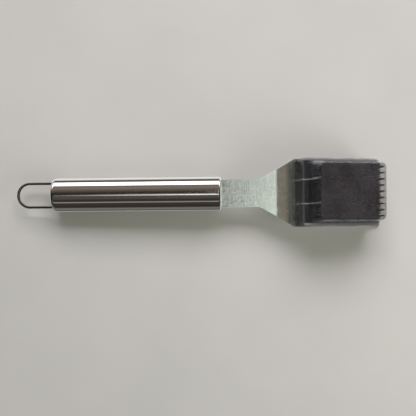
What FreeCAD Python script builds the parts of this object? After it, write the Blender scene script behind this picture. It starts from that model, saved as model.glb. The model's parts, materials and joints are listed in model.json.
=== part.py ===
import FreeCAD, Part
import math
import os
import Sketcher

# Grill cleaning brush, lying bristles up on a flat surface, millimetres.
#
# Row frame: +X runs from the hanging loop to the head, +Z is up, and XZ is the mirror plane.
# Two local frames carry the pieces:
#   handle frame  origin at the centre of the handle's rear face, +X along the handle's axis
#   head frame    origin on the base plate's upper face at the head's rear end, +X along the plate
# The plate bends down at the neck, so the brush stands on the handle's rear rim and the plate's front edge.

Vector = FreeCAD.Vector
Y_AXIS = Vector(0, 1, 0)

DIMENSIONS = [
    # handle
    ("handle_length", 127.3, "rear face to front face"),
    ("handle_radius", 12.5, "outside of the polished tube"),
    ("tube_wall", 0.8, "wall of the tube and of both end caps"),
    ("rear_rim", 4.0, "part of the rear cap that stands outside the tube"),
    ("rear_rounding", 3.0, "outer edge of the rear cap"),
    ("front_rim", 3.0, "part of the front cap that stands outside the tube"),
    ("front_rounding", 1.3, "outer edge of the front cap"),
    ("spigot_length", 6.0, "part of each cap inside the tube"),
    ("slip_gap", 0.05, "radial gap between pieces that slide together"),
    # hanging loop
    ("wire_radius", 1.1, "wire of the hanging loop"),
    ("loop_radius", 8.95, "loop bend, to the middle of the wire"),
    ("loop_reach", 28.2, "handle's rear face to the loop's outer end"),
    ("loop_leg_inside", 13.0, "length of each leg inside the handle"),
    ("stop_ring_radius", 1.8, "outside of the rings crimped on the legs"),
    ("stop_ring_length", 4.0, "length of each crimped ring"),
    # inserts that hold the tang
    ("insert_length", 30.0, "length of each half insert"),
    ("insert_setback", 11.0, "front face of the handle to the inserts"),
    ("pin_radius", 1.5, "pins through inserts and tang"),
    ("pin_spacing", 14.0, "distance between the two pins"),
    ("pin_length", 17.0, "length of each pin"),
    # base plate, neck and tang: one pressing
    ("plate_thickness", 1.5, "sheet thickness"),
    ("plate_width", 51.2, "full width under the block"),
    ("plate_length", 70.0, "full-width part, with the scraping lip in front of the block"),
    ("neck_width", 20.4, "neck and tang"),
    ("neck_length", 42.8, "handle's front face to the bend"),
    ("flare_front", 12.7, "bend to the full width"),
    ("flare_rear", 14.1, "start of the flare to the bend"),
    ("tang_length", 36.0, "part of the pressing inside the handle"),
    ("bend_angle", 16.5, "degrees between neck and base plate"),
    ("bend_radius", 9.0, "bend, on its inner side"),
    ("flare_rounding", 6.0, "corner where the neck starts to flare"),
    ("corner_rounding", 2.0, "front corners of the plate and corners of the block"),
    # block, tufts and their anchors
    ("block_rear", 1.0, "rear end of the full-width plate to the block"),
    ("block_length", 59.5, "along the plate"),
    ("block_width", 49.0, "across the plate"),
    ("block_height", 17.0, "plate to the face the tufts come out of"),
    ("block_edge_rounding", 1.0, "upper edges of the block"),
    ("tuft_pitch", 4.5, "between tufts, both ways"),
    ("tuft_rows", 9, "rows side by side across the plate"),
    ("tuft_columns", 10, "tufts in a row, along the plate"),
    ("field_rear", 11.5, "rear face of the block to the first column of tufts"),
    ("tuft_hole_radius", 1.55, "holes in the block"),
    ("tuft_hole_depth", 11.0, "holes in the block"),
    ("tuft_root_radius", 1.5, "tuft inside its hole"),
    ("tuft_tip_radius", 2.1, "tuft at its free end"),
    ("tuft_reach", 15.0, "free length of a tuft above the block"),
    ("end_tuft_lean", 6.5, "degrees that the first and last column splay"),
    ("anchor_height", 1.5, "flat wire anchor at the bottom of a hole"),
    ("anchor_width", 2.6, "flat wire anchor"),
    ("anchor_thickness", 0.5, "flat wire anchor"),
    # screws through the plate into the block
    ("screw_radius", 1.75, "shank"),
    ("screw_head_height", 1.4, "countersunk head, 90 degree cone"),
    ("screw_depth", 11.0, "length in the block"),
    ("screw_rear", 5.2, "rear face of the block to the rear screws"),
    ("screw_spacing_long", 51.2, "between screws, along the plate"),
    ("screw_spacing_wide", 37.0, "between screws, across the plate"),
    ("recess_width", 0.7, "cross recess in each head"),
    ("recess_span", 3.4, "cross recess in each head"),
    ("recess_depth", 0.9, "cross recess in each head"),
    # clear cover over the bristles
    ("guard_wall", 0.5, "formed sheet"),
    ("guard_gap", 0.3, "between skirt and block"),
    ("guard_lift", 0.1, "between skirt and plate"),
    ("guard_ledge_height", 17.9, "outside of the ledge above the plate"),
    ("guard_height", 33.0, "outside of the top above the plate"),
    ("guard_top_rear", 7.5, "skirt's rear face to the top face"),
    ("guard_top_length", 51.8, "top face, along the plate"),
    ("guard_top_width", 41.8, "top face, across the plate"),
    ("guard_foot_rear", 4.2, "skirt's rear face to the upper box where it meets the ledge"),
    ("guard_foot_length", 56.4, "upper box where it meets the ledge"),
    ("guard_foot_width", 46.2, "upper box where it meets the ledge"),
    ("guard_corner_rounding", 3.5, "upright corners of the upper box"),
    ("guard_skirt_rounding", 2.6, "upright corners of the skirt"),
    ("guard_edge_rounding", 1.4, "edges of the top face and ledge"),
]

doc = FreeCAD.newDocument("grill_brush")
sheet = doc.addObject("Spreadsheet::Sheet", "dims")
for row, (alias, value, meaning) in enumerate(DIMENSIONS, start=1):
    sheet.set(f"A{row}", alias)
    sheet.set(f"B{row}", str(value))
    sheet.set(f"C{row}", meaning)
    sheet.setAlias(f"B{row}", alias)
doc.recompute()


def size(alias):
    """The number that the sheet holds under this alias."""
    return float(sheet.get(alias))


def origin_plane(body, role):
    """One of a body's own three origin planes."""
    return next(feature for feature in body.Origin.OriginFeatures if feature.Role == role)


def new_body(label):
    body = doc.addObject("PartDesign::Body", label)
    body.Label = label
    return body


def attached_sketch(body, name, plane, lift=None):
    """An empty sketch on one of the body's origin planes, lifted off it by an expression."""
    sketch = body.newObject("Sketcher::SketchObject", name)
    sketch.AttachmentSupport = [(origin_plane(body, plane), "")]
    sketch.MapMode = "FlatFace"
    if lift:
        sketch.setExpression("AttachmentOffset.Base.z", lift)
    return sketch


def place_point(sketch, geometry, end, tag, across, up=None):
    """Hold one point of a sketch at one or two sheet expressions."""
    for axis, expression in (("X", across), ("Y", up)):
        if expression is None:
            continue
        point = sketch.getPoint(geometry, end)
        value = point.x if axis == "X" else point.y
        index = sketch.addConstraint(Sketcher.Constraint(f"Distance{axis}", -1, 1, geometry, end, value))
        name = f"{tag}_{axis.lower()}"
        sketch.renameConstraint(index, name)
        sketch.setExpression(f"Constraints.{name}", expression)


def polygon(sketch, corners, tag="corner"):
    """A closed outline through corners that are pairs of sheet expressions."""
    count = len(corners)
    ring = []
    for number in range(count):
        angle = 2 * math.pi * number / count
        ring.append(Vector(10 * math.cos(angle), 10 * math.sin(angle), 0))
    first = sketch.GeometryCount
    for number in range(count):
        sketch.addGeometry(Part.LineSegment(ring[number], ring[(number + 1) % count]), False)
    for number in range(count):
        following = first + (number + 1) % count
        sketch.addConstraint(Sketcher.Constraint("Coincident", first + number, 2, following, 1))
    for number, (across, up) in enumerate(corners):
        place_point(sketch, first + number, 1, f"{tag}{number}", across, up)


def circle(sketch, tag, radius, across, up):
    """A circle whose radius and centre are sheet expressions."""
    number = sketch.addGeometry(Part.Circle(Vector(0, 0, 0), Vector(0, 0, 1), 1.0), False)
    index = sketch.addConstraint(Sketcher.Constraint("Radius", number, 1.0))
    sketch.renameConstraint(index, f"{tag}_radius")
    sketch.setExpression(f"Constraints.{tag}_radius", radius)
    place_point(sketch, number, 3, tag, across, up)


def revolve(body, sketch):
    """Turn a sketch a full circle about its own horizontal axis."""
    feature = body.newObject("PartDesign::Revolution", "turned")
    feature.Profile = sketch
    feature.ReferenceAxis = (sketch, ["H_Axis"])
    feature.Angle = 360
    doc.recompute()
    return feature


def pad(body, sketch, length, both_ways=False):
    feature = body.newObject("PartDesign::Pad", "padded")
    feature.Profile = sketch
    feature.setExpression("Length", length)
    feature.SideType = "Symmetric" if both_ways else "One side"
    doc.recompute()
    return feature


def pocket(body, sketch, length=None, forward=False):
    """Cut a sketch away, backwards from its plane unless forward, or right through both ways."""
    before = body.Shape.Volume
    feature = body.newObject("PartDesign::Pocket", "cut")
    feature.Profile = sketch
    if length:
        feature.setExpression("Length", length)
        feature.Reversed = forward
    else:
        feature.Type = "ThroughAll"
        feature.SideType = "Symmetric"
    doc.recompute()
    if not feature.Shape.Volume < before:
        raise RuntimeError(f"{body.Label}: {sketch.Label} cuts nothing")
    return feature


def edges_where(shape, wanted):
    """Names of the edges whose middle point and curve pass a test."""
    names = []
    for number, edge in enumerate(shape.Edges, start=1):
        middle = edge.valueAt((edge.FirstParameter + edge.LastParameter) / 2)
        if wanted(edge, middle):
            names.append(f"Edge{number}")
    if not names:
        raise RuntimeError("no edge passes the test")
    return names


def dress(body, kind, base, names, measure):
    """A Fillet or Chamfer on the named edges of a feature."""
    feature = body.newObject(f"PartDesign::{kind}", kind.lower())
    feature.Base = (base, names)
    feature.setExpression("Radius" if kind == "Fillet" else "Size", measure)
    doc.recompute()
    return feature


def near(value, target, tolerance=0.02):
    return abs(value - target) < tolerance


def upright(edge):
    """True for a straight edge that runs mostly along Z."""
    ends = edge.Vertexes
    return len(ends) == 2 and abs(ends[0].Z - ends[1].Z) > 0.9 * edge.Length


def expression_bound(kind, name, **expressions):
    """A Part primitive with its measures bound to the sheet."""
    item = doc.addObject(f"Part::{kind}", name)
    for measure, expression in expressions.items():
        item.setExpression(measure, expression)
    return item


# ---------------------------------------------------------------- handle pieces, handle frame

def build_handle_tube():
    body = new_body("handle_tube")
    outline = attached_sketch(body, "tube_outline", "XZ_Plane")
    inner = "dims.handle_radius - dims.tube_wall"
    polygon(outline, [
        ("dims.rear_rim", inner),
        ("dims.handle_length - dims.front_rim", inner),
        ("dims.handle_length - dims.front_rim", "dims.handle_radius"),
        ("dims.rear_rim", "dims.handle_radius"),
    ])
    revolve(body, outline)
    return body


def cap_outline(body, face, inward, rim):
    """Half section of a drawn cup: disc, rim flush with the tube and a spigot inside it."""
    spigot = "dims.handle_radius - dims.tube_wall - dims.slip_gap"
    bore = "dims.handle_radius - 2 * dims.tube_wall - dims.slip_gap"
    outline = attached_sketch(body, "cap_outline", "XZ_Plane")
    polygon(outline, [
        (face, "0"),
        (face, "dims.handle_radius"),
        (f"{face} {inward} {rim}", "dims.handle_radius"),
        (f"{face} {inward} {rim}", spigot),
        (f"{face} {inward} ({rim} + dims.spigot_length)", spigot),
        (f"{face} {inward} ({rim} + dims.spigot_length)", bore),
        (f"{face} {inward} dims.tube_wall", bore),
        (f"{face} {inward} dims.tube_wall", "0"),
    ])
    return outline


def rim_edges(feature, face):
    radius = size("handle_radius")
    return edges_where(
        feature.Shape,
        lambda edge, middle: near(middle.x, face) and near(math.hypot(middle.y, middle.z), radius),
    )


def build_rear_end_cap():
    body = new_body("rear_end_cap")
    cup = revolve(body, cap_outline(body, "0", "+", "dims.rear_rim"))
    dress(body, "Fillet", cup, rim_edges(cup, 0.0), "dims.rear_rounding")
    holes = attached_sketch(body, "leg_holes", "YZ_Plane")
    for tag, side in (("left", "dims.loop_radius"), ("right", "-dims.loop_radius")):
        circle(holes, tag, "dims.wire_radius + dims.slip_gap", side, "0")
    pocket(body, holes, "2 * dims.rear_rim", forward=True)
    return body


def build_front_end_cap():
    body = new_body("front_end_cap")
    cup = revolve(body, cap_outline(body, "dims.handle_length", "-", "dims.front_rim"))
    dress(body, "Fillet", cup, rim_edges(cup, size("handle_length")), "dims.front_rounding")
    slot = attached_sketch(body, "tang_slot", "YZ_Plane", "dims.handle_length")
    half_wide = "dims.neck_width / 2 + dims.slip_gap"
    half_high = "dims.plate_thickness / 2 + dims.slip_gap"
    polygon(slot, [
        (f"-({half_wide})", f"-({half_high})"),
        (half_wide, f"-({half_high})"),
        (half_wide, half_high),
        (f"-({half_wide})", half_high),
    ])
    pocket(body, slot, "2 * dims.front_rim")
    return body


def build_hanging_loop():
    """A wire swept along two legs joined by a half circle."""
    body = new_body("hanging_loop")
    path = attached_sketch(body, "loop_path", "XY_Plane")
    radius = size("loop_radius")
    crown = -(size("loop_reach") - size("wire_radius") - radius)
    inside = size("loop_leg_inside")
    centre = Vector(crown, 0, 0)
    path.addGeometry(Part.LineSegment(Vector(inside, radius, 0), Vector(crown, radius, 0)), False)
    half = Part.ArcOfCircle(Part.Circle(centre, Vector(0, 0, 1), radius), math.pi / 2, 3 * math.pi / 2)
    path.addGeometry(half, False)
    path.addGeometry(Part.LineSegment(Vector(crown, -radius, 0), Vector(inside, -radius, 0)), False)
    path.addConstraint(Sketcher.Constraint("Coincident", 0, 2, 1, 1))
    path.addConstraint(Sketcher.Constraint("Coincident", 1, 2, 2, 1))
    crown_at = "-(dims.loop_reach - dims.wire_radius - dims.loop_radius)"
    place_point(path, 0, 1, "leg_start", "dims.loop_leg_inside", "dims.loop_radius")
    place_point(path, 1, 1, "bend_start", crown_at, "dims.loop_radius")
    place_point(path, 1, 3, "bend_centre", crown_at)
    place_point(path, 2, 1, "bend_end", crown_at, "-dims.loop_radius")
    place_point(path, 2, 2, "leg_end", "dims.loop_leg_inside", "-dims.loop_radius")
    section = attached_sketch(body, "wire_section", "YZ_Plane", "dims.loop_leg_inside")
    circle(section, "wire", "dims.wire_radius", "dims.loop_radius", "0")
    doc.recompute()
    wire = body.newObject("PartDesign::AdditivePipe", "bent_wire")
    wire.Profile = section
    wire.Spine = (path, ["Edge1", "Edge2", "Edge3"])
    doc.recompute()
    return body


def ring_pair(name, bore, outside, length, start):
    """Two rings side by side on the loop's legs."""
    rings = []
    for side in (1, -1):
        outer = expression_bound("Cylinder", f"{name}_outer", Radius=outside, Height=length)
        hollow = expression_bound("Cylinder", f"{name}_hollow", Radius=bore, Height=length)
        for item in (outer, hollow):
            item.Placement = FreeCAD.Placement(Vector(), FreeCAD.Rotation(Y_AXIS, 90))
            item.setExpression("Placement.Base.x", start)
            item.setExpression("Placement.Base.y", f"{side} * dims.loop_radius")
        ring = doc.addObject("Part::Cut", f"{name}_ring")
        ring.Base = outer
        ring.Tool = hollow
        rings.append(ring)
    pair = doc.addObject("Part::Compound", name)
    pair.Links = rings
    return pair


def build_loop_stop_rings():
    return ring_pair("loop_stop_rings", "dims.wire_radius + 0.4 * dims.slip_gap",
                     "dims.stop_ring_radius", "dims.stop_ring_length", "dims.tube_wall + dims.slip_gap")


def pin_cylinders(name, radius):
    """Upright cylinders at the two pins' places, in the handle frame."""
    items = []
    middle = "dims.handle_length - dims.insert_setback - dims.insert_length / 2"
    for side in ("-", "+"):
        pin = expression_bound("Cylinder", f"{name}_cylinder", Radius=radius, Height="dims.pin_length")
        pin.setExpression("Placement.Base.x", f"{middle} {side} dims.pin_spacing / 2")
        pin.setExpression("Placement.Base.z", "-dims.pin_length / 2")
        items.append(pin)
    return items


def build_tang_insert(name, side):
    """Half-round moulding above (side 1) or below (side -1) the tang, bored for the pins."""
    rod = expression_bound("Cylinder", f"{name}_rod", Radius="dims.handle_radius - dims.tube_wall - 2 * dims.slip_gap",
                           Height="dims.insert_length")
    rod.Placement = FreeCAD.Placement(Vector(), FreeCAD.Rotation(Y_AXIS, 90))
    rear = "dims.handle_length - dims.insert_setback - dims.insert_length"
    rod.setExpression("Placement.Base.x", rear)
    half = expression_bound("Box", f"{name}_half", Length="dims.insert_length",
                            Width="2 * dims.handle_radius", Height="dims.handle_radius")
    half.setExpression("Placement.Base.x", rear)
    half.setExpression("Placement.Base.y", "-dims.handle_radius")
    gap = "dims.plate_thickness / 2 + dims.slip_gap"
    half.setExpression("Placement.Base.z", gap if side > 0 else f"-({gap}) - dims.handle_radius")
    blank = doc.addObject("Part::Common", f"{name}_blank")
    blank.Base = rod
    blank.Tool = half
    holes = doc.addObject("Part::MultiFuse", f"{name}_holes")
    holes.Shapes = pin_cylinders(name, "dims.pin_radius + dims.slip_gap")
    insert = doc.addObject("Part::Cut", name)
    insert.Base = blank
    insert.Tool = holes
    return insert


def build_tang_pins():
    pins = doc.addObject("Part::Compound", "tang_pins")
    pins.Links = pin_cylinders("tang_pins", "dims.pin_radius")
    return pins


# ---------------------------------------------------------------- head pieces, head frame

def rectangle_from(body, name, rear, length, width, lift=None):
    """A rectangle on the plate's middle line that starts at a distance along it."""
    sketch = attached_sketch(body, name, "XY_Plane", lift)
    front = f"{rear} + {length}"
    polygon(sketch, [
        (rear, f"-({width}) / 2"),
        (front, f"-({width}) / 2"),
        (front, f"({width}) / 2"),
        (rear, f"({width}) / 2"),
    ])
    return sketch


def tuft_along(column):
    """Distance of a column of tufts along the plate, as an expression."""
    return f"dims.block_rear + dims.field_rear + {column} * dims.tuft_pitch"


def tuft_across(row):
    """Distance of a row of tufts from the plate's middle line, as an expression."""
    return f"({row} - (dims.tuft_rows - 1) / 2) * dims.tuft_pitch"


def screw_places():
    """Centres of the four screws in the head frame, as expressions."""
    rear = "dims.block_rear + dims.screw_rear"
    for along in (rear, f"{rear} + dims.screw_spacing_long"):
        for across in ("-", "+"):
            yield along, f"{across}dims.screw_spacing_wide / 2"


def build_neck_plate():
    """Side section padded to the full width, cut to its outline, then bent edges and holes."""
    body = new_body("neck_plate")
    section = attached_sketch(body, "side_section", "XZ_Plane")
    half = "dims.plate_thickness / 2"
    reach = "(dims.neck_length + dims.tang_length)"
    tang_x = f"-dims.flare_front - {reach} * cos(dims.bend_angle)"
    tang_z = f"-{half} - {reach} * sin(dims.bend_angle)"
    mitre = f"{half} * tan(dims.bend_angle / 2)"
    polygon(section, [
        ("dims.plate_length", "0"),
        (f"-dims.flare_front - {mitre}", "0"),
        (f"{tang_x} - {half} * sin(dims.bend_angle)", f"{tang_z} + {half} * cos(dims.bend_angle)"),
        (f"{tang_x} + {half} * sin(dims.bend_angle)", f"{tang_z} - {half} * cos(dims.bend_angle)"),
        (f"-dims.flare_front + {mitre}", "-dims.plate_thickness"),
        ("dims.plate_length", "-dims.plate_thickness"),
    ])
    sheet_metal = pad(body, section, "dims.plate_width", both_ways=True)
    bend_x = -size("flare_front")
    bends = edges_where(sheet_metal.Shape, lambda edge, middle: near(middle.x, bend_x, 1.0) and near(middle.y, 0))
    outer, inner = sorted(bends, key=lambda name: -sheet_metal.Shape.getElement(name).CenterOfMass.z)
    bent = dress(body, "Fillet", sheet_metal, [outer], "dims.bend_radius + dims.plate_thickness")
    inner = edges_where(bent.Shape, lambda edge, middle: near(middle.x, bend_x, 1.0) and near(middle.y, 0)
                        and near(middle.z, -size("plate_thickness")) and near(edge.Length, size("plate_width")))
    bent = dress(body, "Fillet", bent, inner, "dims.bend_radius")

    outline = attached_sketch(body, "side_cuts", "XY_Plane")
    flare_x = "-dims.flare_front - dims.flare_rear * cos(dims.bend_angle)"
    behind = f"-dims.flare_front - 2 * {reach}"
    for tag, sign in (("left", ""), ("right", "-")):
        polygon(outline, [
            (behind, f"{sign}dims.neck_width / 2"),
            (flare_x, f"{sign}dims.neck_width / 2"),
            ("0", f"{sign}dims.plate_width / 2"),
            ("0", f"{sign}dims.plate_width"),
            (behind, f"{sign}dims.plate_width"),
        ], tag)
    cut = pocket(body, outline)
    flare_start = -size("flare_front") - size("flare_rear") * math.cos(math.radians(size("bend_angle")))
    corners = edges_where(cut.Shape, lambda edge, middle: near(middle.x, flare_start, 0.6)
                          and near(abs(middle.y), size("neck_width") / 2) and edge.Length < 2 * size("plate_thickness"))
    rounded = dress(body, "Fillet", cut, corners, "dims.flare_rounding")
    corners = edges_where(rounded.Shape, lambda edge, middle: near(middle.x, size("plate_length")) and upright(edge))
    rounded = dress(body, "Fillet", rounded, corners, "dims.corner_rounding")

    holes = attached_sketch(body, "screw_holes", "XY_Plane")
    for number, (along, across) in enumerate(screw_places()):
        circle(holes, f"screw{number}", "dims.screw_radius + dims.slip_gap", along, across)
    drilled = pocket(body, holes)
    bore = size("screw_radius") + size("slip_gap")
    rims = edges_where(drilled.Shape, lambda edge, middle: near(middle.z, -size("plate_thickness"))
                       and hasattr(edge.Curve, "Radius") and near(edge.Curve.Radius, bore))
    sunk = dress(body, "Chamfer", drilled, rims, "dims.screw_head_height")

    pins = attached_sketch(body, "pin_holes", "XY_Plane")
    pins.AttachmentOffset = FreeCAD.Placement(Vector(), FreeCAD.Rotation(-Y_AXIS, size("bend_angle")))
    pins.setExpression("AttachmentOffset.Rotation.Angle", "dims.bend_angle")
    pins.setExpression("AttachmentOffset.Base.x", "-dims.flare_front")
    pins.setExpression("AttachmentOffset.Base.z", f"-{half}")
    for tag, side in (("rear", "-"), ("front", "+")):
        along = (f"-dims.neck_length - dims.insert_setback - dims.insert_length / 2 {side} dims.pin_spacing / 2")
        circle(pins, tag, "dims.pin_radius + dims.slip_gap", along, "0")
    pocket(body, pins)
    return body


def build_brush_block():
    """Moulded block, drilled from above for the tufts and from below for the screws."""
    body = new_body("brush_block")
    outline = rectangle_from(body, "block_outline", "dims.block_rear", "dims.block_length", "dims.block_width")
    block = pad(body, outline, "dims.block_height")
    corners = edges_where(block.Shape, lambda edge, middle: upright(edge))
    block = dress(body, "Fillet", block, corners, "dims.corner_rounding")
    brim = edges_where(block.Shape, lambda edge, middle: near(middle.z, size("block_height")))
    dress(body, "Fillet", block, brim, "dims.block_edge_rounding")

    row = attached_sketch(body, "tuft_hole_row", "XY_Plane", "dims.block_height")
    for column in range(int(size("tuft_columns"))):
        circle(row, f"tuft{column}", "dims.tuft_hole_radius", tuft_along(column), tuft_across(0))
    drilled = pocket(body, row, "dims.tuft_hole_depth")
    rows = body.newObject("PartDesign::LinearPattern", "tuft_hole_rows")
    rows.Originals = [drilled]
    rows.Direction = (row, ["V_Axis"])
    rows.setExpression("Occurrences", "dims.tuft_rows")
    rows.setExpression("Length", "(dims.tuft_rows - 1) * dims.tuft_pitch")
    body.Tip = rows
    doc.recompute()

    pilots = attached_sketch(body, "screw_pilots", "XY_Plane")
    for number, (along, across) in enumerate(screw_places()):
        circle(pilots, f"screw{number}", "dims.screw_radius + dims.slip_gap", along, across)
    pocket(body, pilots, "dims.screw_depth + dims.slip_gap", forward=True)
    return body


def build_block_screws():
    """Four countersunk screws with a cross recess, heads flush with the plate's lower face."""
    screws = []
    for along, across in screw_places():
        shank = expression_bound("Cylinder", "screw_shank", Radius="dims.screw_radius",
                                 Height="dims.screw_depth + dims.plate_thickness")
        head = expression_bound("Cone", "screw_head", Radius1="dims.screw_radius + dims.screw_head_height",
                                Radius2="dims.screw_radius", Height="dims.screw_head_height")
        bars = []
        for length, width in (("dims.recess_span", "dims.recess_width"), ("dims.recess_width", "dims.recess_span")):
            bar = expression_bound("Box", "recess_bar", Length=length, Width=width, Height="dims.recess_depth")
            bar.setExpression("Placement.Base.x", f"{along} - {length} / 2")
            bar.setExpression("Placement.Base.y", f"{across} - {width} / 2")
            bars.append(bar)
        for item in (shank, head):
            item.setExpression("Placement.Base.x", along)
            item.setExpression("Placement.Base.y", across)
        for item in (shank, head, *bars):
            item.setExpression("Placement.Base.z", "-dims.plate_thickness")
        blank = doc.addObject("Part::MultiFuse", "screw_blank")
        blank.Shapes = [shank, head]
        cross = doc.addObject("Part::MultiFuse", "screw_cross")
        cross.Shapes = bars
        screw = doc.addObject("Part::Cut", "screw")
        screw.Base = blank
        screw.Tool = cross
        screws.append(screw)
    group = doc.addObject("Part::Compound", "block_screws")
    group.Links = screws
    return group


def build_tuft_row(number):
    """One row of tufts along the plate; the first and last lean away from the field."""
    last = int(size("tuft_columns")) - 1
    pieces = []
    for column in range(last + 1):
        root = expression_bound("Cylinder", "tuft_root", Radius="dims.tuft_root_radius",
                                Height="dims.tuft_hole_depth - dims.anchor_height")
        brush = expression_bound("Cone", "tuft_brush", Radius1="dims.tuft_root_radius",
                                 Radius2="dims.tuft_tip_radius", Height="dims.tuft_reach")
        lean = {0: -1, last: 1}.get(column, 0) * size("end_tuft_lean")
        brush.Placement = FreeCAD.Placement(Vector(), FreeCAD.Rotation(Y_AXIS, lean))
        for item in (root, brush):
            item.setExpression("Placement.Base.x", tuft_along(column))
            item.setExpression("Placement.Base.y", tuft_across(number - 1))
        root.setExpression("Placement.Base.z", "dims.block_height - dims.tuft_hole_depth + dims.anchor_height")
        brush.setExpression("Placement.Base.z", "dims.block_height")
        pieces += [root, brush]
    row = doc.addObject("Part::MultiFuse", f"tuft_row_{number}")
    row.Shapes = pieces
    return row


def build_tuft_anchors():
    """A flat wire anchor at the bottom of every tuft hole."""
    anchors = []
    for row in range(int(size("tuft_rows"))):
        for column in range(int(size("tuft_columns"))):
            anchor = expression_bound("Box", "anchor", Length="dims.anchor_width",
                                      Width="dims.anchor_thickness", Height="dims.anchor_height")
            anchor.setExpression("Placement.Base.x", f"{tuft_along(column)} - dims.anchor_width / 2")
            anchor.setExpression("Placement.Base.y", f"{tuft_across(row)} - dims.anchor_thickness / 2")
            anchor.setExpression("Placement.Base.z", "dims.block_height - dims.tuft_hole_depth")
            anchors.append(anchor)
    group = doc.addObject("Part::Compound", "tuft_anchors")
    group.Links = anchors
    return group


def formed_box(name, inset):
    """Solid two-step form, a straight skirt and a tapered box, with every face moved in by an expression."""
    body = new_body(name)
    margin = "(dims.guard_gap + dims.guard_wall)"
    face = f"dims.block_rear - {margin} + {inset}"
    skirt = rectangle_from(body, f"{name}_skirt", face, f"dims.block_length + 2 * {margin} - 2 * {inset}",
                           f"dims.block_width + 2 * {margin} - 2 * {inset}", f"dims.guard_lift - {inset}")
    pad(body, skirt, "dims.guard_ledge_height - dims.guard_lift")
    foot = rectangle_from(body, f"{name}_foot", f"{face} + dims.guard_foot_rear",
                          f"dims.guard_foot_length - 2 * {inset}", f"dims.guard_foot_width - 2 * {inset}",
                          f"dims.guard_ledge_height - {inset}")
    top = rectangle_from(body, f"{name}_top", f"{face} + dims.guard_top_rear",
                         f"dims.guard_top_length - 2 * {inset}", f"dims.guard_top_width - 2 * {inset}",
                         f"dims.guard_height - {inset}")
    doc.recompute()
    box = body.newObject("PartDesign::AdditiveLoft", "tapered_box")
    box.Profile = foot
    box.Sections = [top]
    doc.recompute()

    roof = box.Shape.BoundBox.ZMax
    ledge = roof - size("guard_height") + size("guard_ledge_height")
    corners = edges_where(box.Shape, lambda edge, middle: upright(edge) and middle.z > ledge)
    box = dress(body, "Fillet", box, corners, f"dims.guard_corner_rounding - {inset}")
    corners = edges_where(box.Shape, lambda edge, middle: upright(edge) and middle.z < ledge)
    box = dress(body, "Fillet", box, corners, f"dims.guard_skirt_rounding - {inset}")
    brim = edges_where(box.Shape, lambda edge, middle: near(middle.z, roof))
    dress(body, "Fillet", box, brim, f"dims.guard_edge_rounding - {inset}")
    return body


def build_bristle_guard():
    """Formed sheet left between two such forms; the inner one is open at the bottom."""
    guard = doc.addObject("Part::Cut", "bristle_guard")
    guard.Base = formed_box("guard_outside", "0")
    guard.Tool = formed_box("guard_inside", "dims.guard_wall")
    return guard


# ---------------------------------------------------------------- assembly

def standing_angle():
    """Degrees that the plate dips when the rear rim and the plate's front edge both touch the surface."""
    bend = math.radians(size("bend_angle"))
    half = size("plate_thickness") / 2
    to_bend = size("handle_length") + size("neck_length")
    past_bend = size("flare_front") + size("plate_length")
    rounding = size("rear_rounding")
    edge_x = to_bend + past_bend * math.cos(bend) - half * math.sin(bend)
    edge_z = -past_bend * math.sin(bend) - half * math.cos(bend)
    rise = math.atan2(-(edge_z + size("handle_radius")), edge_x - rounding)
    return size("bend_angle") - math.degrees(rise)


handle_pieces = [
    build_handle_tube(),
    build_rear_end_cap(),
    build_front_end_cap(),
    build_hanging_loop(),
    build_loop_stop_rings(),
    build_tang_insert("tang_insert_upper", 1),
    build_tang_insert("tang_insert_lower", -1),
    build_tang_pins(),
]
head_pieces = [
    build_neck_plate(),
    build_brush_block(),
    build_block_screws(),
    build_tuft_anchors(),
    build_bristle_guard(),
]
head_pieces += [build_tuft_row(number) for number in range(1, int(size("tuft_rows")) + 1)]

bend = math.radians(size("bend_angle"))
to_handle_rear = size("handle_length") + size("neck_length")
handle_in_head = FreeCAD.Placement(
    Vector(-size("flare_front") - to_handle_rear * math.cos(bend), 0,
           -size("plate_thickness") / 2 - to_handle_rear * math.sin(bend)),
    FreeCAD.Rotation(Y_AXIS, -size("bend_angle")),
)
head_in_row = FreeCAD.Placement(Vector(), FreeCAD.Rotation(Y_AXIS, standing_angle()))
for piece in head_pieces:
    piece.Placement = head_in_row
for piece in handle_pieces:
    piece.Placement = head_in_row.multiply(handle_in_head)
doc.recompute()

# The row's origin is on the surface, under the middle of the brush's length.
box = FreeCAD.BoundBox()
for piece in handle_pieces + head_pieces:
    box.add(piece.Shape.optimalBoundingBox(False))
shift = Vector(-box.Center.x, -box.Center.y, -box.ZMin)
for piece in handle_pieces + head_pieces:
    piece.Placement = FreeCAD.Placement(piece.Placement.Base + shift, piece.Placement.Rotation)
doc.recompute()

faults = [item.Label for item in doc.Objects if {"Invalid", "Error"} & set(item.State)]
if faults:
    raise RuntimeError(f"these objects failed: {faults}")
for piece in handle_pieces + head_pieces:
    if piece.Shape.isNull() or not piece.Shape.isValid():
        raise RuntimeError(f"{piece.Label} has no valid shape")

os.makedirs("parts", exist_ok=True)
for piece in handle_pieces + head_pieces:
    piece.Shape.exportStep(f"parts/{piece.Label}.step")
    extent = piece.Shape.BoundBox
    print(f"{piece.Label}: {len(piece.Shape.Solids)} solids, {piece.Shape.Volume:.1f} mm3, "
          f"x {extent.XMin:.2f}..{extent.XMax:.2f}, y {extent.YMin:.2f}..{extent.YMax:.2f}, "
          f"z {extent.ZMin:.2f}..{extent.ZMax:.2f}")
head = head_in_row.Base + shift
print(f"head frame at {head.x:.4f}, {head.z:.4f}, dips {standing_angle():.4f} degrees")
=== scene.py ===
"""Looks for the grill cleaning brush: materials, separate bristles, a creased clear guard and its scene."""

import json
import math
import random

import bpy
from mathutils import Matrix, Vector, noise


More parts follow.
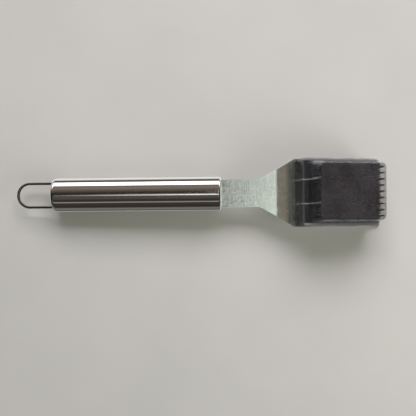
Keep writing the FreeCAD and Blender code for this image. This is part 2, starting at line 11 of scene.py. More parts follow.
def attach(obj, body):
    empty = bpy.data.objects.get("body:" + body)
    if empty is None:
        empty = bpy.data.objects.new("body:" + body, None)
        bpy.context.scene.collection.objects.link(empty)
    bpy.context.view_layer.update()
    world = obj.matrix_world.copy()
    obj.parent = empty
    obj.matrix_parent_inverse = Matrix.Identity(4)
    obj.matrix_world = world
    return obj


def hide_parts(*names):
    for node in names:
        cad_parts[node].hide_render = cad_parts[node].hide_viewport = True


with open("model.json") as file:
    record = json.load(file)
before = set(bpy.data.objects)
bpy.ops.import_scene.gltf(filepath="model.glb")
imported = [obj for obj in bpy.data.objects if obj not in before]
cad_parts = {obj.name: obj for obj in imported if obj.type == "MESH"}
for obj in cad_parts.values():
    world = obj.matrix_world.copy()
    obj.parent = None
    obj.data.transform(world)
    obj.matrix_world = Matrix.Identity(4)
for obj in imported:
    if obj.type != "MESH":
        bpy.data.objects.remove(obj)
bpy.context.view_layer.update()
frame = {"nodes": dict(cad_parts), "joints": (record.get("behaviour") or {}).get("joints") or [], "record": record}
MM = 0.001
SEED = 7
random.seed(SEED)

# ---------------------------------------------------------------- local frames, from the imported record

MOUNTS = {mount["name"]: mount for mount in frame["record"]["mounts"]}


def local_frame(origin, up):
    """Matrix from a local frame, z up off the piece and x along it, to the row frame."""
    up = Vector(up)
    along = Vector((up.z, 0, -up.x))
    return Matrix.Translation(origin) @ Matrix((along, up.cross(along), up)).transposed().to_4x4()


# The guard lifts off square to the base plate, and the hanging eye faces square to the handle.
HEAD = local_frame(MOUNTS["plate_back"]["pos_m"], frame["joints"][0]["axis"])
GRIP = local_frame(MOUNTS["handle_grip"]["pos_m"], MOUNTS["hanging_eye"]["axis"])


def extent(node, matrix):
    """Lowest and highest corners of a CAD node, measured in a local frame."""
    to_local = matrix.inverted()
    points = [to_local @ vertex.co for vertex in frame["nodes"][node].data.vertices]
    low = Vector([min(point[axis] for point in points) for axis in range(3)])
    high = Vector([max(point[axis] for point in points) for axis in range(3)])
    return low, high


BLOCK_HIGH = extent("brush_block", HEAD)[1]
GUARD_LOW, GUARD_HIGH = extent("bristle_guard", HEAD)
ANCHORS_LOW, ANCHORS_HIGH = extent("tuft_anchors", HEAD)

# Clear guard in the head frame: the sheet, its ledge above the plate, and its rounded edges and ribs.
SHEET = 0.4 * MM
RIM_ABOVE_PLATE = 0.1 * MM
LEDGE_HEIGHT = 17.8 * MM
LEDGE_TOP = GUARD_LOW.z - RIM_ABOVE_PLATE + LEDGE_HEIGHT
EDGE = 1.0 * MM
RIB_PLACE = 8.8 * MM
RIB_WIDTH = 0.6 * MM
# How far the foot and the top of its upper box lie inside the skirt's rear, front and side faces.
FOOT_REAR, FOOT_FRONT, FOOT_SIDE = 4.2 * MM, 0.6 * MM, 2.2 * MM
TOP_REAR, TOP_FRONT, TOP_SIDE = 7.5 * MM, 1.8 * MM, 4.4 * MM


# ---------------------------------------------------------------- shader node helpers

USUAL_NOISE = 0.3, 0.7


def new_material(name):
    material = bpy.data.materials.new(name)
    material.use_nodes = True
    material.node_tree.nodes.clear()
    return material, material.node_tree


def connect(tree, socket, value):
    """Links another node's output to an input socket, or sets the socket to a plain value."""
    if isinstance(value, bpy.types.NodeSocket):
        tree.links.new(value, socket)
    else:
        socket.default_value = value


def add(tree, kind, **settings):
    """A node with its properties set by name, and its inputs by in_<name or number> (spaces as _)."""
    item = tree.nodes.new(kind)
    inputs = {key[3:]: value for key, value in settings.items() if key.startswith("in_")}
    for key, value in settings.items():
        if not key.startswith("in_"):
            setattr(item, key, value)
    for label, value in inputs.items():
        connect(tree, item.inputs[int(label) if label.isdigit() else label.replace("_", " ")], value)
    return item


def calculated(tree, operation, first, second=0.0):
    return add(tree, "ShaderNodeMath", operation=operation, in_0=first, in_1=second).outputs[0]


def graded(tree, value, start, finish, low=0.0, high=1.0):
    """A value carried from start..finish to low..high, and held there beyond either end."""
    return add(tree, "ShaderNodeMapRange", in_Value=value, in_From_Min=start, in_From_Max=finish,
               in_To_Min=low, in_To_Max=high).outputs[0]


def spread(tree, noise_value, low, high):
    """Noise from its usual range carried to low..high."""
    return graded(tree, noise_value, *USUAL_NOISE, low, high)


def ramp(tree, factor, stops):
    """A colour ramp through (position, colour) stops."""
    item = add(tree, "ShaderNodeValToRGB", in_Fac=factor)
    elements = item.color_ramp.elements
    while len(elements) < len(stops):
        elements.new(1.0)
    for element, (position, colour) in zip(elements, stops):
        element.position = position
        element.color = (*colour, 1)
    return item.outputs["Color"]


def stretched(tree, matrix, scale=(1, 1, 1)):
    """Object coordinates turned into a local frame and scaled per axis."""
    coordinates = add(tree, "ShaderNodeTexCoord").outputs["Object"]
    turn = matrix.to_3x3().inverted().to_euler()
    mapping = add(tree, "ShaderNodeMapping", in_Vector=coordinates, in_Rotation=turn)
    return add(tree, "ShaderNodeVectorMath", operation="MULTIPLY", in_0=mapping.outputs[0],
               in_1=scale).outputs[0]


def grain(tree, vector, scale=1.0, detail=3.0, roughness=0.55):
    return add(tree, "ShaderNodeTexNoise", in_Vector=vector, in_Scale=scale, in_Detail=detail,
               in_Roughness=roughness).outputs["Fac"]


def mixed(tree, factor, first, second, blend="MIX"):
    """Two colours mixed; a colour mix node has its colour inputs at places 6 and 7."""
    item = add(tree, "ShaderNodeMix", data_type="RGBA", blend_type=blend)
    connect(tree, item.inputs["Factor"], factor)
    connect(tree, item.inputs[6], first)
    connect(tree, item.inputs[7], second)
    return item.outputs[2]


def toned(tree, noise_value, colours):
    """Two colours of one material, mixed by noise."""
    return mixed(tree, spread(tree, noise_value, low=0.0, high=1.0), *colours)


def bumped(tree, height, strength, depth):
    return add(tree, "ShaderNodeBump", in_Strength=strength, in_Distance=depth, in_Height=height).outputs[0]


def surface(tree, shader):
    output = tree.nodes.new("ShaderNodeOutputMaterial")
    tree.links.new(shader.outputs[0], output.inputs["Surface"])


# ---------------------------------------------------------------- metals

STEEL_COLOURS = (0.57, 0.56, 0.55, 1), (0.66, 0.65, 0.64, 1)
WIRE_COLOURS = (0.15, 0.15, 0.155, 1), (0.24, 0.24, 0.24, 1)
ZINC_COLOURS = (0.37, 0.43, 0.38, 1), (0.64, 0.70, 0.64, 1)
ZINC_CLOUD = (0.62, 0.66, 0.58, 1)
ZINC_LINES = (0.33, 0.36, 0.33, 1)
# Grain per metre along x, y and z of the local frame, so the smallest number is the way the lines run.
STEEL_GRAIN = (12, 2600, 2600)
WIRE_GRAIN = (40, 900, 900)
ZINC_GRAIN = (1500, 60, 60)


def polished_steel():
    """Polished stainless: a mirror with very fine lengthwise lines and a few faint smudges."""
    material, tree = new_material("polished_steel")
    lines = grain(tree, stretched(tree, GRIP, STEEL_GRAIN), detail=4.0)
    smudge = grain(tree, stretched(tree, GRIP), scale=38.0, detail=4.0)
    colour = toned(tree, lines, STEEL_COLOURS)
    rough = calculated(tree, "ADD", spread(tree, lines, low=0.05, high=0.11),
                       spread(tree, smudge, low=0.0, high=0.04))
    surface(tree, add(tree, "ShaderNodeBsdfPrincipled", in_Metallic=1.0, in_Base_Color=colour,
                      in_Roughness=rough, in_Normal=bumped(tree, lines, strength=0.05, depth=0.05 * MM)))
    return material


def bright_wire():
    """Drawn stainless wire and small hardware: fine lines along the wire."""
    material, tree = new_material("bright_wire")
    lines = grain(tree, stretched(tree, GRIP, WIRE_GRAIN), detail=4.0)
    colour = toned(tree, lines, WIRE_COLOURS)
    rough = spread(tree, lines, low=0.06, high=0.14)
    surface(tree, add(tree, "ShaderNodeBsdfPrincipled", in_Metallic=1.0, in_Base_Color=colour,
                      in_Roughness=rough, in_Normal=bumped(tree, lines, strength=0.1, depth=0.05 * MM)))
    return material


def zinc_sheet():
    """Dull zinc-coated sheet: cool green-grey, mottled, with rolling lines across and small dents."""
    material, tree = new_material("zinc_sheet")
    plain = stretched(tree, HEAD)
    mottle = grain(tree, plain, scale=420.0, detail=5.0, roughness=0.7)
    cloud = grain(tree, plain, scale=90.0, detail=4.0, roughness=0.6)
    rolled = grain(tree, stretched(tree, HEAD, ZINC_GRAIN))
    colour = toned(tree, mottle, ZINC_COLOURS)
    colour = mixed(tree, spread(tree, cloud, low=0.0, high=0.45), colour, ZINC_CLOUD)
    colour = mixed(tree, spread(tree, rolled, low=0.0, high=0.25), colour, ZINC_LINES)
    rough = calculated(tree, "ADD", spread(tree, mottle, low=0.15, high=0.25),
                       spread(tree, cloud, low=-0.03, high=0.05))
    dents = bumped(tree, calculated(tree, "ADD", mottle, rolled), strength=0.25, depth=0.08 * MM)
    surface(tree, add(tree, "ShaderNodeBsdfPrincipled", in_Metallic=0.90, in_Base_Color=colour,
                      in_Roughness=rough, in_Normal=dents))
    return material


# ---------------------------------------------------------------- plastics

INSERT_COLOURS = (0.62, 0.60, 0.54, 1), (0.72, 0.70, 0.65, 1)
INSERT_ROUGHNESS = 0.4, 0.55
BLOCK_COLOURS = (0.008, 0.009, 0.012, 1), (0.022, 0.024, 0.03, 1)
BLOCK_ROUGHNESS = 0.25, 0.42
BRISTLE_COLOURS = (0.010, 0.010, 0.013, 1), (0.098, 0.091, 0.118, 1)
BRISTLE_WORN = (0.026, 0.025, 0.030, 1)
# Noise stretched along the strands, and across the rows, of the head frame.
STRAND_STRETCH = (1, 1, 0.12)
ROW_STRETCH = (1, 0.35, 1)


def moulded_plastic(name, colours, roughness):
    """Moulded plastic with flow marks and a fine skin."""
    material, tree = new_material(name)
    plain = stretched(tree, HEAD)
    flow = grain(tree, plain, scale=70.0, detail=4.0)
    skin = grain(tree, plain, scale=2600.0, detail=2.0)
    colour = toned(tree, flow, colours)
    surface(tree, add(tree, "ShaderNodeBsdfPrincipled", in_Base_Color=colour, in_Specular_IOR_Level=0.25,
                      in_Roughness=spread(tree, flow, *roughness),
                      in_Normal=bumped(tree, skin, strength=0.12, depth=0.06 * MM)))
    return material


def bristle_plastic():
    """Black stiff bristle: each strand a little different, and duller in patches."""
    material, tree = new_material("bristle")
    vary = grain(tree, stretched(tree, HEAD, STRAND_STRETCH), scale=1100.0, detail=1.0)
    worn = grain(tree, stretched(tree, HEAD, ROW_STRETCH), scale=160.0)
    colour = toned(tree, vary, BRISTLE_COLOURS)
    colour = mixed(tree, spread(tree, worn, low=0.0, high=0.5), colour, BRISTLE_WORN)
    surface(tree, add(tree, "ShaderNodeBsdfPrincipled", in_Base_Color=colour,
                      in_Roughness=spread(tree, vary, low=0.35, high=0.6)))
    return material


# ---------------------------------------------------------------- clear film

FILM_INDEX = 1.5
FILM_TINT = (0.93, 0.92, 0.92, 1)
FILM_MIRROR = (0.68, 0.71, 0.75, 1)
# White of the film's haze, and of the painted sheen on its ledges and ribs.
FILM_WHITE_HAZE_AND_SHEEN = (0.8, 0.82, 0.84, 1)
CREASE_WIDTH = 0.045
CREASE_HEIGHT = 1.6
# Share of its mirror that the rear wall keeps, and painted sheen: white added along the side ledges, the rear brim
# and the ribs in place of their highlights.
REAR_MIRROR = 0.10
LEDGE_PAINTED_SHEEN = 0.13
REAR_BRIM_PAINTED_SHEEN = 0.35
RIB_PAINTED_SHEEN = 0.14


def film_zones(tree, plain):
    """How much of its mirror the film keeps from place to place, and the painted sheen along its side ledges, rear
    brim and ribs.
    """
    origin = HEAD.to_3x3().inverted() @ HEAD.translation
    place = add(tree, "ShaderNodeVectorMath", operation="SUBTRACT", in_0=plain, in_1=origin).outputs[0]
    along, across, up = add(tree, "ShaderNodeSeparateXYZ", in_Vector=place).outputs
    side = calculated(tree, "ABSOLUTE", across)
    foot_rear = GUARD_LOW.x + FOOT_REAR
    foot_side = GUARD_HIGH.y - FOOT_SIDE
    top_rear = GUARD_LOW.x + TOP_REAR
    mirror = graded(tree, along, foot_rear - EDGE, foot_rear, low=REAR_MIRROR)

    # Painted sheen: white diffuse on the side ledges, the rear brim and the ribs stands in for the highlights
    # these edges catch.
    ledge = graded(tree, up, LEDGE_TOP - 2 * EDGE, LEDGE_TOP - EDGE, high=LEDGE_PAINTED_SHEEN)
    side_ledge_sheen = calculated(tree, "MULTIPLY", graded(tree, side, foot_side - EDGE / 2, foot_side), ledge)
    brim = graded(tree, along, GUARD_LOW.x + EDGE, GUARD_LOW.x + EDGE / 2, high=REAR_BRIM_PAINTED_SHEEN)
    rear_brim_sheen = calculated(tree, "MULTIPLY", brim, ledge)

    off_rib = calculated(tree, "ABSOLUTE", calculated(tree, "SUBTRACT", side, RIB_PLACE))
    on_rib_sheen = graded(tree, off_rib, RIB_WIDTH, RIB_WIDTH / 2, high=RIB_PAINTED_SHEEN)
    rib = calculated(tree, "MULTIPLY", on_rib_sheen, graded(tree, along, top_rear, top_rear - EDGE))

    white_diffuse = calculated(tree, "MAXIMUM", calculated(tree, "MAXIMUM", side_ledge_sheen, rib), rear_brim_sheen)
    return mirror, white_diffuse


def clear_film():
    """Thin clear sheet: light goes straight through it, its surface mirrors, and it is creased and hazy, with
    painted sheen along its ledges and ribs.
    """
    material, tree = new_material("clear_film")
    plain = stretched(tree, HEAD)
    crinkle = grain(tree, plain, scale=260.0, detail=4.0)
    haze = grain(tree, plain, scale=60.0)
    cells = add(tree, "ShaderNodeTexVoronoi", feature="DISTANCE_TO_EDGE", in_Vector=plain, in_Scale=75.0)
    crease = graded(tree, cells.outputs["Distance"], 0.0, CREASE_WIDTH)
    height = calculated(tree, "ADD", calculated(tree, "MULTIPLY", crease, CREASE_HEIGHT), crinkle)
    bump = bumped(tree, height, strength=0.35, depth=0.18 * MM)
    kept_mirror, painted_sheen = film_zones(tree, plain)

    through = add(tree, "ShaderNodeBsdfTransparent", in_Color=FILM_TINT)
    mirror = add(tree, "ShaderNodeBsdfGlossy", in_Color=FILM_MIRROR, in_Roughness=0.04, in_Normal=bump)
    white_diffuse = add(tree, "ShaderNodeBsdfDiffuse", in_Color=FILM_WHITE_HAZE_AND_SHEEN)
    # Real haze from noise, plus the painted sheen on ledges, brim and ribs.
    haze_and_sheen = calculated(tree, "ADD", spread(tree, haze, low=0.0, high=0.02), painted_sheen)
    clear = add(tree, "ShaderNodeMixShader", in_0=haze_and_sheen, in_1=through.outputs[0], in_2=white_diffuse.outputs[0])

    # A straight-through shader doesn't bend light, so a face seen from inside needs the inverse index.
    inside = add(tree, "ShaderNodeNewGeometry").outputs["Backfacing"]
    index = graded(tree, inside, 0, 1, low=FILM_INDEX, high=1 / FILM_INDEX)
    fresnel = add(tree, "ShaderNodeFresnel", in_IOR=index, in_Normal=bump).outputs[0]
    share = calculated(tree, "MULTIPLY", fresnel, kept_mirror)
    surface(tree, add(tree, "ShaderNodeMixShader", in_0=share, in_1=clear.outputs[0],
                      in_2=mirror.outputs[0]))
    return material


MATERIALS = {
    "polished_steel": polished_steel(),
    "bright_wire": bright_wire(),
    "zinc_sheet": zinc_sheet(),
    "insert_plastic": moulded_plastic("insert_plastic", INSERT_COLOURS, INSERT_ROUGHNESS),
    "block_plastic": moulded_plastic("block_plastic", BLOCK_COLOURS, BLOCK_ROUGHNESS),
    "bristle": bristle_plastic(),
    "clear_film": clear_film(),
}
for subpart in frame["record"]["subparts"]:
    mesh = frame["nodes"][subpart["node"]].data
    mesh.materials.clear()
    mesh.materials.append(MATERIALS[subpart["material_slot"]])


def new_piece(name, vertices, faces, slot, body):
    """A mesh piece given in the head frame, placed in the row frame and riding on a body."""
    mesh = bpy.data.meshes.new(name)
    mesh.from_pydata([HEAD @ Vector(vertex) for vertex in vertices], [], faces)
    mesh.validate()
    mesh.materials.append(MATERIALS[slot])
    piece = bpy.data.objects.new(name, mesh)
    bpy.context.scene.collection.objects.link(piece)
    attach(piece, body)
    return piece


# ---------------------------------------------------------------- bristles

STRANDS_PER_TUFT = 60
STRAND_RADIUS = 0.21 * MM
STRAND_SIDES = 5
STRAND_STEPS = 4
ROOT_DEPTH = 2.0 * MM
ROOT_SPREAD = 1.25 * MM
TIP_SPREAD = 2.15 * MM
TIP_CLEARANCE = 0.35 * MM
TIP_SCATTER = Vector((0.12, 0.10, 0.16)) * MM
TIP_WEAR = 0.15 * MM
SWAY = 0.12 * MM
# In the front tuft of each row, every third strand fans out in a thin sheet.
FAN_EVERY = 3
FAN_REACH = 3.5 * MM
FAN_RAGGED = 0.4
FAN_HALF_WIDTH = 0.5 * MM
REAR_SHIFT, FRONT_SHIFT = -1.0 * MM, -0.3 * MM
GOLDEN = (math.sqrt(5) - 1) / 2

ROWS = sorted(node for node in frame["nodes"] if node.startswith("tuft_row_"))
ROW_EXTENTS = {node: extent(node, HEAD) for node in ROWS}
PITCH = (ROW_EXTENTS[ROWS[-1]][0].y - ROW_EXTENTS[ROWS[0]][0].y) / (len(ROWS) - 1)
TUFT_TOP = ROW_EXTENTS[ROWS[0]][1].z - TIP_CLEARANCE
ANCHOR_WIDTH = 2.6 * MM
FIRST_COLUMN = ANCHORS_LOW.x + ANCHOR_WIDTH / 2
LAST_COLUMN = ANCHORS_HIGH.x - ANCHOR_WIDTH / 2
COLUMNS = round((LAST_COLUMN - FIRST_COLUMN) / PITCH) + 1
SHIFTS = {0: REAR_SHIFT, COLUMNS - 1: FRONT_SHIFT}
FANS = {COLUMNS - 1: FAN_REACH}


def strand(vertices, faces, root, tip, sway):
    """One bristle as a slim closed prism, bowed a little between root and tip."""
    first = len(vertices)
    lean = (tip - root).normalized()
    side = lean.cross(Vector((0, 1, 0))).normalized()
    other = lean.cross(side)
    for step in range(STRAND_STEPS + 1):
        share = step / STRAND_STEPS
        centre = root.lerp(tip, share) + sway * math.sin(math.pi * share)
        for corner in range(STRAND_SIDES):
            angle = 2 * math.pi * corner / STRAND_SIDES
            vertices.append(centre + STRAND_RADIUS * (math.cos(angle) * side + math.sin(angle) * other))
    for step in range(STRAND_STEPS):
        for corner in range(STRAND_SIDES):
            following = (corner + 1) % STRAND_SIDES
            low = first + step * STRAND_SIDES
            high = low + STRAND_SIDES
            faces.append((low + corner, low + following, high + following, high + corner))
    last = first + STRAND_STEPS * STRAND_SIDES
    faces.append(tuple(range(last, last + STRAND_SIDES)))
    faces.append(tuple(range(first + STRAND_SIDES - 1, first - 1, -1)))


def tuft(vertices, faces, centre, shift, fan):
    """A square bundle of strands with its tips shifted along the row; some may fan out in a thin sheet."""
    for number in range(STRANDS_PER_TUFT):
        unit = Vector((2 * ((number * GOLDEN) % 1) - 1, 2 * (number + 0.5) / STRANDS_PER_TUFT - 1, 0))
        root = Vector((centre.x, centre.y, BLOCK_HIGH.z - ROOT_DEPTH)) + unit * ROOT_SPREAD
        tip = Vector((centre.x + shift + unit.x * (TIP_SPREAD + abs(shift)),
                      centre.y + unit.y * TIP_SPREAD, TUFT_TOP))
        if fan and number % FAN_EVERY == 0:
            tip.x = centre.x + fan * (1 + FAN_RAGGED * unit.x)
            tip.y = centre.y + unit.y * FAN_HALF_WIDTH
        tip += Vector((random.gauss(0, TIP_SCATTER.x), random.gauss(0, TIP_SCATTER.y),
                       random.gauss(-TIP_WEAR, TIP_SCATTER.z)))
        sway = Vector((random.gauss(0, SWAY), random.gauss(0, SWAY), 0))
        strand(vertices, faces, root, tip, sway)


def build_bristle_row(node):
    """All tufts of one row as a single piece, which stands for the CAD's row of tufts."""
    low, high = ROW_EXTENTS[node]
    vertices, faces = [], []
    for column in range(COLUMNS):
        centre = Vector((FIRST_COLUMN + column * PITCH, (low.y + high.y) / 2, 0))
        tuft(vertices, faces, centre, SHIFTS.get(column, 0), FANS.get(column, 0))
    row = new_piece(node.replace("tuft_row", "bristle_row"), vertices, faces, "bristle", "brush")
    for polygon in row.data.polygons:
        polygon.use_smooth = len(polygon.vertices) == 4
    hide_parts(node)


for node in ROWS:
    build_bristle_row(node)


# ---------------------------------------------------------------- clear guard

SKIRT_ROUNDING, BOX_ROUNDING = 2.2 * MM, 3.3 * MM
RIB_HEIGHT = 0.8 * MM
ROOF_ZONE = 1.5 * EDGE
# How fine the sheet's mesh is: cells of the top, and outlines up each wall, edge and ledge.
CELL = 0.45 * MM
WALL_STEPS = 16
EDGE_STEPS = 6
LEDGE_STEPS = 2
# Soft waves of the thin film: how many to the metre, and how high.
WAVES = (90.0, 0.22 * MM), (240.0, 0.09 * MM)


def rounded(u, v, half_long, half_wide, radius):
    """A point of the unit square carried onto a rectangle with round corners."""
    x, y = u * half_long, v * half_wide
    over_x, over_y = abs(x) - (half_long - radius), abs(y) - (half_wide - radius)
    if over_x > 0 and over_y > 0:
        pull = max(over_x, over_y) / math.hypot(over_x, over_y)
        x = math.copysign(half_long - radius + over_x * pull, x)
        y = math.copysign(half_wide - radius + over_y * pull, y)
    return x, y


def outline(rear, front, side, radius, height):
    """One level of the sheet: how far its outline lies inside the skirt's rear, front and side faces."""
    low, high = GUARD_LOW.x + rear + SHEET, GUARD_HIGH.x - front - SHEET
    return (low + high) / 2, (high - low) / 2, GUARD_HIGH.y - side - SHEET, radius, height


def shares(steps):
    return [step / steps for step in range(1, steps + 1)]


def between(start, finish, share):
    return start + share * (finish - start)


def guard_levels():
    """Outlines of the sheet from the rim up to the edge of the top."""
    roof = GUARD_HIGH.z - SHEET
    levels = []
    for share in [0] + shares(WALL_STEPS):
        height = between(GUARD_LOW.z, LEDGE_TOP - EDGE, share)
        levels.append(outline(0, 0, 0, SKIRT_ROUNDING, height))
    for share in shares(EDGE_STEPS):
        turn = math.radians(90 * share)
        inward = EDGE * (1 - math.cos(turn))
        levels.append(outline(inward, inward * FOOT_FRONT / FOOT_REAR, inward, SKIRT_ROUNDING,
                              LEDGE_TOP - EDGE + EDGE * math.sin(turn)))
    for share in shares(LEDGE_STEPS):
        levels.append(outline(between(EDGE, FOOT_REAR, share), between(FOOT_FRONT / 2, FOOT_FRONT, share),
                              between(EDGE, FOOT_SIDE, share),
                              between(SKIRT_ROUNDING, BOX_ROUNDING, share), LEDGE_TOP))
    for share in shares(WALL_STEPS):
        levels.append(outline(between(FOOT_REAR, TOP_REAR, share), between(FOOT_FRONT, TOP_FRONT, share),
                              between(FOOT_SIDE, TOP_SIDE, share), BOX_ROUNDING,
                              between(LEDGE_TOP, roof - EDGE, share)))
    for share in shares(EDGE_STEPS):
        turn = math.radians(90 * share)
        inward = EDGE * (1 - math.cos(turn))
        levels.append(outline(TOP_REAR + inward, TOP_FRONT + inward, TOP_SIDE + inward, BOX_ROUNDING,
                              roof - EDGE + EDGE * math.sin(turn)))
    return levels


def creased(point):
    """Moves a point of the sheet for the pressed ribs of the rear wall and the soft waves of thin film."""
    moved = Vector(point)
    if point.x < GUARD_LOW.x + TOP_REAR + EDGE:
        for rib in (-RIB_PLACE, RIB_PLACE):
            moved.x -= RIB_HEIGHT * math.exp(-((point.y - rib) / RIB_WIDTH) ** 2)
    wave = sum(noise.noise(point * count) * height for count, height in WAVES)
    outward = Vector((point.x - (GUARD_LOW.x + GUARD_HIGH.x) / 2, point.y, 0)).normalized()
    roof = point.z > GUARD_HIGH.z - ROOF_ZONE
    return moved + (Vector((0, 0, wave)) if roof else outward * wave)


def sheet_point(u, v, level):
    """A point of one level of the sheet, given on the unit square."""
    centre, half_long, half_wide, radius, height = level
    x, y = rounded(u, v, half_long, half_wide, radius)
    return creased(Vector((centre + x, y, height)))


def border_of(long_cells, wide_cells):
    """Corners of the grid's outer cells, once round."""
    border = [(i, 0) for i in range(long_cells)]
    border += [(long_cells, j) for j in range(wide_cells)]
    border += [(long_cells - i, wide_cells) for i in range(long_cells)]
    border += [(0, wide_cells - j) for j in range(wide_cells)]
    return border


def wall_faces(level_count, count):
    """Faces between neighbouring outlines of count points each."""
    faces = []
    for level in range(level_count - 1):
        low = level * count
        high = low + count
        for number in range(count):
            following = (number + 1) % count
            faces.append((low + number, low + following, high + following, high + number))
    return faces


def build_guard():
    """Walls as a stack of outlines, and the top as a grid of cells inside the last one."""
    levels = guard_levels()
    long_cells = 2 * round(levels[-1][1] / CELL)
    wide_cells = 2 * round(levels[-1][2] / CELL)
    border = border_of(long_cells, wide_cells)

    def cell_corner(i, j, level):
        return sheet_point(2 * i / long_cells - 1, 2 * j / wide_cells - 1, level)

    vertices = [cell_corner(i, j, level) for level in levels for i, j in border]
    faces = wall_faces(len(levels), len(border))
    first = (len(levels) - 1) * len(border)
    grid = {pair: first + number for number, pair in enumerate(border)}
    for i in range(long_cells + 1):
        for j in range(wide_cells + 1):
            if (i, j) not in grid:
                grid[i, j] = len(vertices)
                vertices.append(cell_corner(i, j, levels[-1]))
    for i in range(long_cells):
        for j in range(wide_cells):
            faces.append((grid[i, j], grid[i + 1, j], grid[i + 1, j + 1], grid[i, j + 1]))

    guard = new_piece("guard_film", vertices, faces, "clear_film", "guard")
    for polygon in guard.data.polygons:
        polygon.use_smooth = True
    thick = guard.modifiers.new("sheet", "SOLIDIFY")
    thick.thickness = SHEET
    thick.offset = 1.0
    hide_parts("bristle_guard")


build_guard()


# ---------------------------------------------------------------- table and lights

TABLE_HALF = 6.0
TABLE_COLOURS = (0.555, 0.542, 0.53, 1), (0.60, 0.583, 0.567, 1)
WINDOW = {"place": (0.15, 1.15, 1.12), "target": (0.02, 0, 0), "size": (1.4, 0.85), "watts": 26.5,
          "colour": (0.995, 0.965, 1.0)}
FILL = {"place": (0.60, -0.30, 0.42), "target": (0.10, -0.03, 0), "size": (0.35, 0.35), "watts": 1.8,
        "colour": (1.0, 1.0, 0.96)}


def build_table():
    corners = [(x * TABLE_HALF, y * TABLE_HALF, 0) for x, y in ((-1, -1), (1, -1), (1, 1), (-1, 1))]
    mesh = bpy.data.meshes.new("table")
    mesh.from_pydata(corners, [], [(0, 1, 2, 3)])
    table = bpy.data.objects.new("table", mesh)
    bpy.context.scene.collection.objects.link(table)
    material, tree = new_material("table_paint")
    position = add(tree, "ShaderNodeTexCoord").outputs["Object"]
    cloud = grain(tree, position, scale=9.0, detail=4.0)
    fine = grain(tree, position, scale=500.0)
    colour = toned(tree, cloud, TABLE_COLOURS)
    surface(tree, add(tree, "ShaderNodeBsdfPrincipled", in_Base_Color=colour, in_Roughness=0.6,
                      in_Normal=bumped(tree, fine, strength=0.08, depth=0.2 * MM)))
    mesh.materials.append(material)
    table.visible_glossy = False


def area_light(name, place, target, size, watts, colour):
    """A rectangular light that mirrors don't show."""
    light = bpy.data.lights.new(name, "AREA")
    light.shape = "RECTANGLE"
    light.size, light.size_y = size
    light.energy = watts
    light.color = colour
    item = bpy.data.objects.new(name, light)
    item.location = place
    item.rotation_euler = (Vector(target) - Vector(place)).to_track_quat("-Z", "Y").to_euler()
    item.visible_glossy = False
    bpy.context.scene.collection.objects.link(item)


# ---------------------------------------------------------------- room

WALL = (1.0, 0.84, 0.70)
BROWN = (1.0, 0.76, 0.66)
DAYLIGHT = (1.0, 0.99, 0.98)
SHADE = (1.0, 0.99, 0.90)
# The room as polished metal shows it: degrees from straight up (plus is towards +Y), brightness and tint.
ROOM_BANDS = [
    (-180, 0.90, SHADE), (-165, 0.50, SHADE), (-150, 0.10, SHADE), (-126, 0.24, SHADE),
    (-112, 0.24, SHADE), (-103, 0.06, WALL), (-90, 0.04, WALL), (-77, 0.07, WALL),
    (-64, 0.035, WALL), (-60, 0.40, SHADE), (-56, 0.40, SHADE), (-52, 0.05, WALL),
    (-40, 0.05, WALL), (-28, 0.12, WALL), (-20, 0.12, WALL), (-13, 0.07, WALL),
    (4, 0.035, WALL), (12, 0.05, WALL), (22, 0.12, WALL), (32, 0.20, WALL),
    (44, 0.29, WALL), (53, 0.28, WALL), (58, 0.18, WALL), (63, 0.40, DAYLIGHT),
    (68, 3.6, DAYLIGHT), (91, 3.6, DAYLIGHT), (96, 0.18, WALL), (116, 0.14, WALL),
    (127, 1.1, DAYLIGHT), (150, 1.1, DAYLIGHT), (180, 0.9, DAYLIGHT),
]
# The bands are kept between 0 and 1 by this factor, which the background's strength gives back.
PEAK = 4.0
# Lighter places overhead, in degrees from straight up: (lowest, highest, fade) along X and along Y.
LAMP = {"level": 1.9, "tint": DAYLIGHT, "X": (-6.5, -3.0, 13.0), "Y": (-9.0, -7.0, 2.5)}
SKYLIGHT = {"level": 1.7, "tint": DAYLIGHT, "X": (-1.5, 7.0, 1.5), "Y": (-12.0, 18.0, 6.0)}
FAR_WALL = {"level": 0.30, "tint": BROWN, "X": (16.0, 42.0, 5.0), "Y": (-25.0, 25.0, 10.0)}
# The room dims towards its ends: the parts along X of the directions where that starts and is complete.
END_WALLS_START, END_WALLS_FINISH, END_WALLS_LEVEL = 0.70, 0.92, 0.10
# What matt surfaces receive from all sides.
SOFT_COLOUR = (0.95, 1.0, 0.79, 1)
SOFT_LEVEL = 0.24


def angle_from_zenith(tree, split, axis):
    """Degrees from straight up towards one axis, for a direction split into its parts."""
    return calculated(tree, "DEGREES", calculated(tree, "ARCTAN2", split.outputs[axis], split.outputs["Z"]))


def bright_place(tree, angles, place):
    """Colour of a soft-edged light rectangle overhead."""
    level = place["level"] / PEAK
    for axis, angle in angles.items():
        low, high, fade = place[axis]
        rise = graded(tree, angle, low - fade, low)
        fall = graded(tree, angle, high + fade, high)
        level = calculated(tree, "MULTIPLY", calculated(tree, "MULTIPLY", rise, fall), level)
    return add(tree, "ShaderNodeVectorMath", operation="SCALE", in_0=place["tint"],
               in_Scale=level).outputs[0]


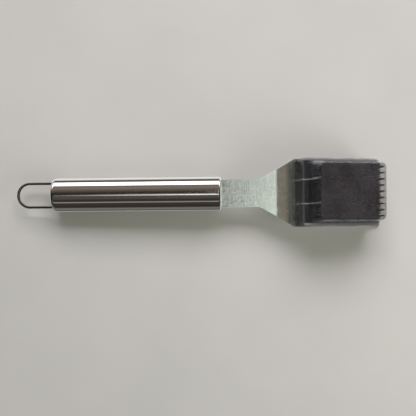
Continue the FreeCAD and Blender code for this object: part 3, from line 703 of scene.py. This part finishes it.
def build_room():
    """Soft even light for matt surfaces, and for mirrors a banded room with lighter places overhead."""
    world = bpy.data.worlds.new("room")
    world.use_nodes = True
    bpy.context.scene.world = world
    tree = world.node_tree
    tree.nodes.clear()
    direction = add(tree, "ShaderNodeTexCoord").outputs["Generated"]
    split = add(tree, "ShaderNodeSeparateXYZ", in_Vector=direction)
    angles = {axis: angle_from_zenith(tree, split, axis) for axis in ("X", "Y")}
    room = ramp(tree, graded(tree, angles["Y"], -180, 180), [
        ((degrees + 180) / 360, tuple(part * level / PEAK for part in tint))
        for degrees, level, tint in ROOM_BANDS])
    for place in (LAMP, SKYLIGHT, FAR_WALL):
        room = mixed(tree, 1.0, room, bright_place(tree, angles, place), "LIGHTEN")
    endways = calculated(tree, "ABSOLUTE", split.outputs["X"])
    dim = graded(tree, endways, END_WALLS_START, END_WALLS_FINISH, low=1, high=END_WALLS_LEVEL)
    seen = add(tree, "ShaderNodeLightPath")
    strength = calculated(tree, "MULTIPLY", dim, PEAK)
    mirrored = add(tree, "ShaderNodeBackground", in_Color=room, in_Strength=strength)
    soft = add(tree, "ShaderNodeBackground", in_Color=SOFT_COLOUR, in_Strength=SOFT_LEVEL)
    both = add(tree, "ShaderNodeMixShader", in_0=seen.outputs["Is Glossy Ray"], in_1=soft.outputs[0],
               in_2=mirrored.outputs[0])
    output = add(tree, "ShaderNodeOutputWorld")
    tree.links.new(both.outputs[0], output.inputs["Surface"])


build_table()
build_room()
area_light("window", **WINDOW)
area_light("fill", **FILL)


# ---------------------------------------------------------------- camera

# The view is measured on the table; the camera hangs a little below its centre in the picture.
VIEW_WIDTH = 324.15 * MM
VIEW_CENTRE = Vector((6.2, -10.2)) * MM
CAMERA_BELOW = 18.0 * MM
CAMERA_HEIGHT = 540 * MM
CAMERA_TURN = -0.45
SENSOR_WIDTH = 36.0


def build_camera():
    """Looks straight down from below the middle of the view, which is shifted up to make up for it."""
    data = bpy.data.cameras.new("camera")
    data.sensor_width = SENSOR_WIDTH
    data.lens = SENSOR_WIDTH * CAMERA_HEIGHT / VIEW_WIDTH
    data.shift_y = CAMERA_BELOW / VIEW_WIDTH
    camera = bpy.data.objects.new("camera", data)
    camera.location = (VIEW_CENTRE.x, VIEW_CENTRE.y - CAMERA_BELOW, CAMERA_HEIGHT)
    camera.rotation_euler = (0, 0, math.radians(CAMERA_TURN))
    bpy.context.scene.collection.objects.link(camera)
    bpy.context.scene.camera = camera


build_camera()
bpy.context.scene.view_settings.view_transform = "Standard"
